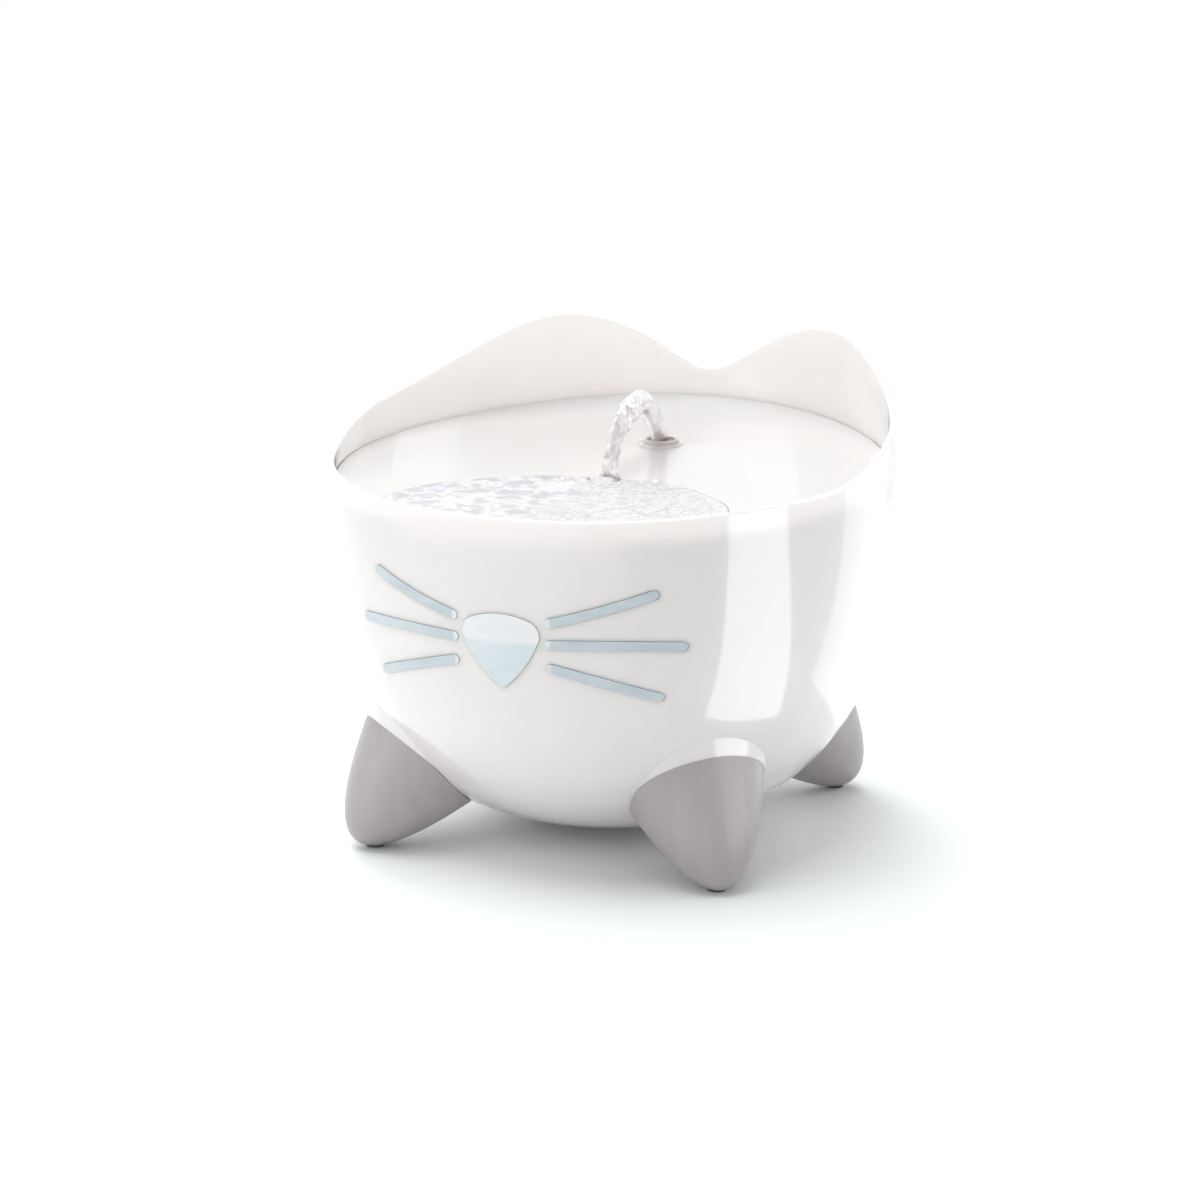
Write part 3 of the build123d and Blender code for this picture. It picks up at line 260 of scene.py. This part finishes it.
def pool_material():
    """Painted reflections on rippled water over a white dish: lilac-grey cells in a white net at left, finer grey lines
    at right.
    """
    made = Nodes("pool_water")
    warp = made.add("ShaderNodeTexNoise", {"Scale": 70.0, "Detail": 3.0, "Vector": made.coordinates})
    push = made.add("ShaderNodeVectorMath", {0: warp.outputs["Color"], "Scale": 13 * MM}, operation="SCALE")
    moved = made.add("ShaderNodeVectorMath", {0: made.coordinates, 1: push.outputs["Vector"]}, operation="ADD")
    cells = made.add(
        "ShaderNodeTexVoronoi", {"Scale": 88.0, "Vector": moved.outputs["Vector"]}, feature="DISTANCE_TO_EDGE"
    )
    small = made.add(
        "ShaderNodeTexVoronoi", {"Scale": 210.0, "Vector": moved.outputs["Vector"]}, feature="DISTANCE_TO_EDGE"
    )
    broad = made.noise(34.0, 3.0, 0.6)
    thick = made.math("ADD", cells.outputs["Distance"], made.math("MULTIPLY", small.outputs["Distance"], 0.25))
    net = made.math("SUBTRACT", thick, made.range(broad, 0.0, 0.22, 0.4, 0.62))
    # painted reflections: the white net round lilac-grey cells stands for what the ripples mirror
    painted_reflection_net = made.ramp(
        net, [(0.03, linear(247, 246, 248)), (0.09, linear(226, 224, 231)), (0.3, linear(214, 212, 221))]
    )
    # painted reflections: the finer grey lines at the right stand for what the ripples mirror there
    painted_reflection_lines = made.ramp(small.outputs["Distance"], [(0.0, linear(210, 208, 212)), (0.09, linear(242, 241, 243))])
    place = made.add("ShaderNodeSeparateXYZ", {"Vector": made.coordinates}).outputs
    right = made.range(made.math("ADD", place["X"], made.math("MULTIPLY", broad, 40 * MM)), 0.0, 1.0, 8 * MM, 26 * MM)
    made.set(
        Base_Color=made.mix(right, painted_reflection_net, painted_reflection_lines),
        Roughness=0.03,
        IOR=1.333,
        Transmission_Weight=0.1,
        Normal=made.bump(made.noise(320.0, 3.0), 0.05 * MM),
    )
    return made.material


def jet_material():
    """Clear water with grey and white streaks of painted light and shade, for what it mirrors and bends; white also for
    the air it carries.
    """
    made = Nodes("jet_water")
    streaks = made.noise(420.0, 3.0, 0.6, made.stretched((1.0, 0.5, 0.35)))
    made.set(
        # painted light and shade: the grey and white streaks stand for what the clear water mirrors and bends
        Base_Color=made.ramp(streaks, [(0.35, linear(214, 207, 208)), (0.62, linear(252, 251, 251))]),
        Roughness=0.05,
        IOR=1.333,
        Transmission_Weight=0.55,
        Normal=made.bump(streaks, 0.3 * MM),
    )
    return made.material


def fabric(name, light, dark, pitch):
    """A plain weave of threads at a pitch."""
    made = Nodes(name)
    scale = 1 / pitch
    warp = made.add(
        "ShaderNodeTexWave", {"Scale": scale / 6.28, "Distortion": 0.4, "Vector": made.coordinates}, bands_direction="X"
    ).outputs["Fac"]
    weft = made.add(
        "ShaderNodeTexWave", {"Scale": scale / 6.28, "Distortion": 0.4, "Vector": made.coordinates}, bands_direction="Z"
    ).outputs["Fac"]
    weave = made.math("MULTIPLY", warp, weft)
    made.set(
        Base_Color=made.ramp(weave, [(0.1, dark), (0.6, light)]),
        Roughness=0.85,
        Normal=made.bump(weave, 0.2 * MM),
        Sheen_Weight=0.3,
    )
    return made.material


def granules(name, light, dark, size, roughness):
    """A bed of loose grains, each with its own tone."""
    made = Nodes(name)
    cells = made.add("ShaderNodeTexVoronoi", {"Scale": 1 / size, "Vector": made.coordinates})
    made.set(
        Base_Color=made.ramp(cells.outputs["Color"], [(0.2, dark), (0.8, light)]),
        Roughness=roughness,
        Normal=made.bump(made.range(cells.outputs["Distance"], 1.0, 0.0), 0.6 * MM),
    )
    return made.material


def metal(name, light, dark, roughness, stretch=(1.0, 1.0, 1.0), scale=400.0):
    """Metal with brushed or drawn lines along one axis."""
    made = Nodes(name)
    lines = made.noise(scale, 3.0, 0.6, made.stretched(stretch))
    made.set(
        Base_Color=made.ramp(lines, [(0.3, dark), (0.7, light)]),
        Metallic=1.0,
        Roughness=made.range(lines, roughness - 0.06, roughness + 0.06, 0.3, 0.7),
        Normal=made.bump(lines, 0.02 * MM),
    )
    return made.material


def winding():
    """Enamelled copper wire wound round the coil's former, in turns along X."""
    made = Nodes("coil_copper")
    turns = made.add(
        "ShaderNodeTexWave", {"Scale": 1 / (6.28 * 0.35 * MM), "Vector": made.coordinates}, bands_direction="X"
    ).outputs["Fac"]
    made.set(
        Base_Color=made.ramp(turns, [(0.1, linear(120, 52, 22)), (0.7, linear(206, 122, 72))]),
        Metallic=0.9,
        Roughness=0.32,
        Normal=made.bump(turns, 0.12 * MM),
        Coat_Weight=0.5,
    )
    return made.material


def laminations():
    """Stacked steel sheets, with their edges as lines along Z."""
    made = Nodes("lamination_steel")
    sheets = made.add(
        "ShaderNodeTexWave", {"Scale": 1 / (6.28 * 0.5 * MM), "Distortion": 0.3, "Vector": made.coordinates},
        bands_direction="Z",
    ).outputs["Fac"]
    made.set(
        Base_Color=made.ramp(sheets, [(0.1, linear(58, 60, 64)), (0.6, linear(138, 142, 148))]),
        Metallic=0.85,
        Roughness=0.45,
        Normal=made.bump(sheets, 0.06 * MM),
    )
    return made.material


def board():
    """Green solder mask with traces."""
    made = Nodes("board_laminate")
    cells = made.add("ShaderNodeTexVoronoi", {"Scale": 700.0, "Vector": made.coordinates}, feature="DISTANCE_TO_EDGE")
    made.set(
        Base_Color=made.ramp(cells.outputs["Distance"], [(0.05, linear(66, 138, 84)), (0.12, linear(24, 92, 50))]),
        Roughness=0.35,
        Normal=made.bump(cells.outputs["Distance"], 0.03 * MM),
        Coat_Weight=0.4,
    )
    return made.material


MATERIALS = {
    "bowl_plastic": bowl_plastic(),
    "dish_plastic": dish_plastic(),
    "window_plastic": window_plastic(),
    "foot_plastic": foot_plastic(),
    "window_rubber": moulded("window_rubber", linear(150, 162, 168), linear(136, 149, 156), 0.5),
    "pad_rubber": moulded("pad_rubber", linear(96, 96, 96), linear(80, 80, 80), 0.7, 900.0, 0.05 * MM),
    "grommet_rubber": moulded("grommet_rubber", linear(168, 168, 168), linear(152, 152, 152), 0.55, 1200.0, 0.03 * MM),
    "screw_steel": metal("screw_steel", linear(206, 206, 208), linear(160, 162, 166), 0.3, (1.0, 1.0, 8.0)),
    # dark reddish-brown: painted shade, standing for the dark bore of the nozzle inside the ring
    "spout_plastic": moulded("spout_plastic", linear(96, 72, 72), linear(78, 56, 56), 0.3),
    "ring_silicone": moulded("ring_silicone", linear(226, 217, 215), linear(214, 204, 202), 0.32, coat=0.4),
    "hose_silicone": moulded("hose_silicone", linear(214, 220, 222), linear(200, 208, 210), 0.35, coat=0.2),
    "cup_silicone": moulded("cup_silicone", linear(202, 208, 212), linear(188, 196, 200), 0.35, coat=0.2),
    "pump_plastic": moulded("pump_plastic", linear(214, 214, 213), linear(204, 204, 203), 0.4),
    "tray_plastic": moulded("tray_plastic", linear(232, 232, 230), linear(224, 224, 222), 0.42),
    "slider_plastic": moulded("slider_plastic", linear(118, 158, 182), linear(104, 144, 170), 0.4),
    "lamination_steel": laminations(),
    "coil_copper": winding(),
    "potting_epoxy": moulded("potting_epoxy", linear(44, 44, 48), linear(30, 30, 34), 0.3, 300.0, 0.08 * MM),
    "board_laminate": board(),
    "lamp_plastic": clear("lamp_plastic", linear(226, 240, 246), 0.05),
    "magnet_ferrite": moulded("magnet_ferrite", linear(66, 66, 70), linear(44, 44, 48), 0.5, 1400.0, 0.04 * MM),
    "impeller_plastic": moulded("impeller_plastic", linear(224, 224, 220), linear(212, 212, 208), 0.38),
    "shaft_ceramic": moulded("shaft_ceramic", linear(242, 240, 234), linear(236, 232, 226), 0.15, coat=0.6),
    "bush_rubber": moulded("bush_rubber", linear(72, 72, 74), linear(56, 56, 58), 0.65),
    "filter_plastic": moulded("filter_plastic", linear(236, 236, 232), linear(228, 228, 224), 0.42),
    "mesh_fabric": fabric("mesh_fabric", linear(240, 240, 236), linear(196, 198, 196), 0.6 * MM),
    "foam_fabric": granules("foam_fabric", linear(232, 234, 224), linear(204, 208, 196), 0.9 * MM, 0.9),
    "carbon_bed": granules("carbon_bed", linear(54, 54, 56), linear(18, 18, 20), 1.2 * MM, 0.6),
    "resin_bed": granules("resin_bed", linear(226, 176, 92), linear(180, 120, 48), 0.8 * MM, 0.25),
}

SLOT_OF_NODE = {part["node"]: part["material_slot"] for part in frame["record"]["subparts"]}
for name, obj in nodes.items():
    obj.data.materials.clear()
    obj.data.materials.append(MATERIALS[SLOT_OF_NODE[name]])


# ---------------------------------------------------------------- water
def smooth(value, low, high):
    """0 below low, 1 above high and a smooth step between."""
    share = min(max((value - low) / (high - low), 0.0), 1.0)
    return share * share * (3 - 2 * share)


def mesh_object(name, vertices, faces, material):
    mesh = bpy.data.meshes.new(name)
    mesh.from_pydata(vertices, [], faces)
    mesh.validate()
    mesh.shade_smooth()
    mesh.materials.append(material)
    made = bpy.data.objects.new(name, mesh)
    bpy.context.scene.collection.objects.link(made)
    return made


RING_LENGTH = 7.2 * MM
RING_FADE = 34 * MM
RING_HEIGHT = 0.75 * MM
WAVELET_HEIGHT = 0.8 * MM
POOL_CENTRE = Vector((0.0, -58 * MM, 0.0))
POOL_SPOKES = 420
POOL_RINGS = 110
POOL_FLOOR_RINGS = 22
POOL_FILM = 0.15 * MM  # between the water and the dish


def ripple(x, y):
    """Height of the water above its level at a point: rings from the splash and crossing wavelets."""
    away = math.hypot(x - SPLASH.x, y - SPLASH.y)
    bend = 5 * MM * noise.noise(Vector((x, y, 0)) * 55)
    rings = math.sin(2 * math.pi * (away + bend) / RING_LENGTH) * math.exp(-away / RING_FADE)
    warp = noise.noise_vector(Vector((x, y, 0.2)) * 60) * 0.3
    cells = noise.noise(Vector((x * 95, y * 62, 0.4)) + warp) + 0.5 * noise.noise(Vector((x * 210, y * 150, 0.9)))
    calm = smooth(away, 4 * MM, 26 * MM)
    mound = 1.5 * MM * math.exp(-((away / (4.5 * MM)) ** 2))
    return mound + RING_HEIGHT * rings + WAVELET_HEIGHT * cells * calm


def pool_edge(angle):
    """Distance from the pool's centre to the water's edge: the pool's circle, cut by the front lip's."""
    direction = Vector((math.cos(angle), math.sin(angle), 0))
    reaches = []
    for centre, radius in ((POOL_AXIS, POOL_RADIUS), (Vector((0, 0, 0)), POOL_FRONT_RADIUS)):
        offset = POOL_CENTRE - centre
        along = offset.dot(direction)
        reaches.append(-along + math.sqrt(along * along - offset.length_squared + radius * radius))
    wander = 1.2 * MM * noise.noise(Vector((direction.x, direction.y, 0)) * 3)
    return min(reaches[0] + wander - 1 * MM, reaches[1])


def dish_heights():
    """A function that gives the height of the dish's upper surface at a point."""
    dish = nodes["drinking_dish"].data
    tree = BVHTree.FromPolygons([v.co for v in dish.vertices], [p.vertices for p in dish.polygons])

    def height(x, y):
        hit = tree.ray_cast(Vector((x, y, WATER_Z + 5 * MM)), Vector((0, 0, -1)))[0]
        return hit.z if hit else WATER_Z

    return height


def pool(material):
    """The water in the dish: a rippled top, and a floor that lies just over the dish."""
    height = dish_heights()
    vertices = [(POOL_CENTRE.x, POOL_CENTRE.y, WATER_Z + ripple(POOL_CENTRE.x, POOL_CENTRE.y))]
    angles = [2 * math.pi * spoke / POOL_SPOKES for spoke in range(POOL_SPOKES)]
    edges = [pool_edge(angle) for angle in angles]
    for ring in range(1, POOL_RINGS + 1):
        share = ring / POOL_RINGS
        still = 1 - smooth(share, 0.93, 1.0)
        for angle, edge in zip(angles, edges):
            x = POOL_CENTRE.x + share * edge * math.cos(angle)
            y = POOL_CENTRE.y + share * edge * math.sin(angle)
            vertices.append((x, y, max(WATER_Z + ripple(x, y) * still, height(x, y) + POOL_FILM)))
    top_count = len(vertices)
    for ring in range(1, POOL_FLOOR_RINGS):
        share = 1 - ring / POOL_FLOOR_RINGS
        for angle, edge in zip(angles, edges):
            x = POOL_CENTRE.x + share * edge * math.cos(angle)
            y = POOL_CENTRE.y + share * edge * math.sin(angle)
            vertices.append((x, y, height(x, y) + POOL_FILM))
    vertices.append((POOL_CENTRE.x, POOL_CENTRE.y, height(POOL_CENTRE.x, POOL_CENTRE.y) + POOL_FILM))

    faces = []
    for spoke in range(POOL_SPOKES):
        after = (spoke + 1) % POOL_SPOKES
        faces.append((0, 1 + spoke, 1 + after))
        for ring in range(POOL_RINGS - 1):
            inner, outer = 1 + ring * POOL_SPOKES, 1 + (ring + 1) * POOL_SPOKES
            faces.append((inner + spoke, outer + spoke, outer + after, inner + after))
        rows = [1 + (POOL_RINGS - 1) * POOL_SPOKES]
        rows += [top_count + ring * POOL_SPOKES for ring in range(POOL_FLOOR_RINGS - 1)]
        for outer, inner in zip(rows, rows[1:]):
            faces.append((outer + spoke, inner + spoke, inner + after, outer + after))
        faces.append((rows[-1] + spoke, len(vertices) - 1, rows[-1] + after))
    made = mesh_object("pool_water", vertices, faces, material)
    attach(made, "dish")


JET_STEPS = 120
JET_SIDES = 40
JET_RADII = (  # share of the jet's reach, radius
    (0.0, 3.1 * MM),
    (0.04, 4.2 * MM),
    (0.2, 4.5 * MM),
    (0.42, 4.7 * MM),
    (0.6, 4.6 * MM),
    (0.72, 3.5 * MM),
    (0.84, 2.5 * MM),
    (0.93, 2.7 * MM),
    (1.0, 3.8 * MM),
)


def jet_point(share):
    """The middle of the jet at a share of its reach: a thrown arc that sways a little as it falls."""
    drop = JET_FOOT.z - JET_END_Z
    slope = 2 * (JET_RISE + math.sqrt(JET_RISE * (JET_RISE + drop))) / JET_REACH
    fall = (slope * JET_REACH + drop) / JET_REACH**2
    distance = share * JET_REACH
    sway = -1.9 * MM * math.exp(-(((share - 0.87) / 0.14) ** 2))
    return Vector((JET_FOOT.x + sway, JET_FOOT.y - distance, JET_FOOT.z + slope * distance - fall * distance**2))


def jet_radius(share):
    for (low, before), (high, after) in zip(JET_RADII, JET_RADII[1:]):
        if share <= high:
            return before + (after - before) * smooth(share, low, high)
    return JET_RADII[-1][1]


def jet(material):
    """The jet from the nozzle: a smooth column that rises, breaks up at its top and falls in strands."""
    vertices, faces = [], []
    for step in range(JET_STEPS + 1):
        share = step / JET_STEPS
        middle = jet_point(share)
        along = (jet_point(share + 0.01) - jet_point(share - 0.01)).normalized()
        across = Vector((1, 0, 0))
        over = across.cross(along).normalized()
        rough = smooth(share, 0.3, 0.75)
        for side in range(JET_SIDES):
            turn = 2 * math.pi * side / JET_SIDES
            spin = turn + 3.0 * share
            strands = 0.16 * math.cos(2 * spin) + 0.1 * math.cos(3 * turn - 7 * share) + 0.05 * math.cos(5 * spin)
            out = across * math.cos(turn) + over * math.sin(turn)
            lumps = 0.26 * noise.noise((middle + out * 4 * MM) * 330)
            beads = 0.12 * noise.noise((middle + out * 3 * MM) * 760)
            radius = jet_radius(share) * (1 + rough * (strands + lumps + beads) + 0.03 * math.cos(4 * turn))
            vertices.append(tuple(middle + out * radius))
    for step in range(JET_STEPS):
        for side in range(JET_SIDES):
            after = (side + 1) % JET_SIDES
            low, high = step * JET_SIDES, (step + 1) * JET_SIDES
            faces.append((low + side, low + after, high + after, high + side))
    last = JET_STEPS * JET_SIDES
    faces.append(tuple(reversed(range(JET_SIDES))))
    faces.append(tuple(last + side for side in range(JET_SIDES)))
    made = mesh_object("jet_water", vertices, faces, material)
    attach(made, "nozzle")


def drops(material):
    """Bubbles that float round the splash, and drops thrown up from it."""
    mesh = bmesh.new()
    for index in range(12):
        away = (4.5 + 5 * ((index * 0.618) % 1)) * MM
        turn = math.radians(-175 + 170 * ((index * 0.382) % 1))
        spot = SPLASH + Vector((away * math.cos(turn), away * math.sin(turn), 0))
        radius = (0.35 + 0.5 * ((index * 0.37) % 1)) * MM
        thrown = 0.1 * MM if index % 3 else 1.5 * MM * ((index * 0.23) % 1)
        spot.z = WATER_Z + ripple(spot.x, spot.y) + thrown + radius * 0.4
        made = bmesh.ops.create_icosphere(mesh, subdivisions=2, radius=radius)
        bmesh.ops.translate(mesh, verts=made["verts"], vec=spot)
    for face in mesh.faces:
        face.smooth = True
    data = bpy.data.meshes.new("splash_drops")
    mesh.to_mesh(data)
    mesh.free()
    data.materials.append(material)
    made = bpy.data.objects.new("splash_drops", data)
    bpy.context.scene.collection.objects.link(made)
    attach(made, "dish")


jet_water = jet_material()
pool(pool_material())
jet(jet_water)
drops(jet_water)

# ---------------------------------------------------------------- studio
FLOOR_SIZE = 60.0
FLOOR_SHADOWED_TO = 0.3  # from the object's axis
FLOOR_WHITE_FROM = 0.8
WORLD_LEVEL = 0.44
KEY_LEVEL = 1.65
KEY_AZIMUTH = math.radians(-174)  # from the left
KEY_HEIGHT = math.radians(80)
KEY_SOFTNESS = math.radians(46)


def is_seen(tree):
    """1 for the rays that show the background: the camera's, and those that a mirror or clear water sends on."""
    path = tree.nodes.new("ShaderNodeLightPath")
    seen = path.outputs["Is Camera Ray"]
    for ray in ("Is Glossy Ray", "Is Transmission Ray"):
        either = tree.nodes.new("ShaderNodeMath")
        either.operation = "MAXIMUM"
        tree.links.new(seen, either.inputs[0])
        tree.links.new(path.outputs[ray], either.inputs[1])
        seen = either.outputs["Value"]
    return seen


def floor_material():
    """
    White floor with the object's grey-green shadow on it, which turns plain white further out. The light that it
    throws back is a plain grey's.
    """
    made = Nodes("floor")
    tree = made.tree
    shown = made.add("ShaderNodeRGB").outputs["Color"]
    shown.default_value = (0.93, 0.97, 0.97, 1.0)
    thrown_back = made.add("ShaderNodeRGB").outputs["Color"]
    thrown_back.default_value = (0.86, 0.86, 0.86, 1.0)
    seen = is_seen(tree)
    made.set(Base_Color=made.mix(seen, thrown_back, shown), Roughness=0.9, Specular_IOR_Level=0.0)
    away = made.add("ShaderNodeVectorMath", {0: made.coordinates}, operation="LENGTH").outputs["Value"]
    far = made.range(away, 0.0, 1.0, FLOOR_SHADOWED_TO, FLOOR_WHITE_FROM)
    white = made.add("ShaderNodeEmission", {"Color": (1.0, 1.0, 1.0, 1.0), "Strength": 1.0})
    blend = made.add("ShaderNodeMixShader", {"Fac": made.math("MULTIPLY", seen, far)})
    tree.links.new(made.shader.outputs["BSDF"], blend.inputs[1])
    tree.links.new(white.outputs["Emission"], blend.inputs[2])
    tree.links.new(blend.outputs["Shader"], tree.nodes["Material Output"].inputs["Surface"])
    return made.material


def studio_world():
    """Even white light; the camera and what mirrors it see plain white."""
    world = bpy.data.worlds.new("studio")
    bpy.context.scene.world = world
    world.use_nodes = True
    tree = world.node_tree
    light = tree.nodes["Background"]
    light.inputs["Color"].default_value = (1.0, 1.0, 1.0, 1.0)
    light.inputs["Strength"].default_value = WORLD_LEVEL
    backdrop = tree.nodes.new("ShaderNodeBackground")
    backdrop.inputs["Color"].default_value = (1.0, 1.0, 1.0, 1.0)
    backdrop.inputs["Strength"].default_value = 1.0
    mix = tree.nodes.new("ShaderNodeMixShader")
    tree.links.new(is_seen(tree), mix.inputs["Fac"])
    tree.links.new(light.outputs["Background"], mix.inputs[1])
    tree.links.new(backdrop.outputs["Background"], mix.inputs[2])
    tree.links.new(mix.outputs["Shader"], tree.nodes["World Output"].inputs["Surface"])


def key_light():
    """A large soft light from the left, high up, as even as a far softbox."""
    data = bpy.data.lights.new("key", "SUN")
    data.energy = KEY_LEVEL
    data.angle = KEY_SOFTNESS
    lamp = bpy.data.objects.new("key", data)
    bpy.context.scene.collection.objects.link(lamp)
    away = Vector(
        (
            math.cos(KEY_HEIGHT) * math.cos(KEY_AZIMUTH),
            math.cos(KEY_HEIGHT) * math.sin(KEY_AZIMUTH),
            math.sin(KEY_HEIGHT),
        )
    )
    lamp.rotation_euler = (-away).to_track_quat("-Z", "Y").to_euler()


def softbox(name, place, facing, size, power):
    """A rectangular lamp that the camera doesn't see."""
    data = bpy.data.lights.new(name, "AREA")
    data.shape = "RECTANGLE"
    data.size, data.size_y = size
    data.energy = power
    lamp = bpy.data.objects.new(name, data)
    bpy.context.scene.collection.objects.link(lamp)
    lamp.location = place
    lamp.rotation_euler = facing.to_track_quat("-Z", "Y").to_euler()
    lamp.visible_camera = False
    return lamp


def studio():
    bpy.ops.mesh.primitive_plane_add(size=FLOOR_SIZE, location=(0, 0, 0))
    floor = bpy.context.object
    floor.name = "floor"
    floor.data.materials.append(floor_material())
    studio_world()
    key_light()
    softbox("left_fill", (-0.95, -0.95, 0.5), Vector((0.95, 0.95, -0.4)), (1.0, 1.0), 3.8)
    softbox("front_fill", (0.05, -1.3, 0.2), Vector((-0.05, 1.3, -0.1)), (0.9, 0.4), 0.8)
    softbox("right_fill", (1.2, 0.55, 0.6), Vector((-1.2, -0.55, -0.5)), (0.9, 0.9), 3.6)
    # from behind, through the ears, and out of sight of the water and the dish
    back = softbox("back_fill", (-0.8, 0.95, 0.55), Vector((0.8, -0.95, -0.4)), (0.9, 0.9), 13.0)
    back.visible_glossy = False
    # panels low on the right that only show as the bowl's upright highlight and as its bright right edge
    strip = softbox("strip", (0.172, -0.08, 0.081), Vector((-0.825, 0.283, 0.488)), (0.075, 0.142), 0.06)
    edge = softbox("edge_strip", (0.175, 0.075, 0.081), Vector((-0.42, -0.76, 0.488)), (0.11, 0.15), 0.04)
    strip.visible_diffuse = edge.visible_diffuse = False


def camera():
    data = bpy.data.cameras.new("camera")
    data.sensor_width = 36.0
    data.lens = 94.73
    data.shift_x = -0.0098
    data.shift_y = -0.0067
    data.clip_start, data.clip_end = 0.05, 200.0
    made = bpy.data.objects.new("camera", data)
    bpy.context.scene.collection.objects.link(made)
    made.location = (0.492795, -1.222232, 0.418804)
    made.rotation_euler = (Vector((0, 0, 0.1)) - made.location).to_track_quat("-Z", "Y").to_euler()
    bpy.context.scene.camera = made


studio()
camera()
bpy.context.scene.view_settings.view_transform = "Standard"
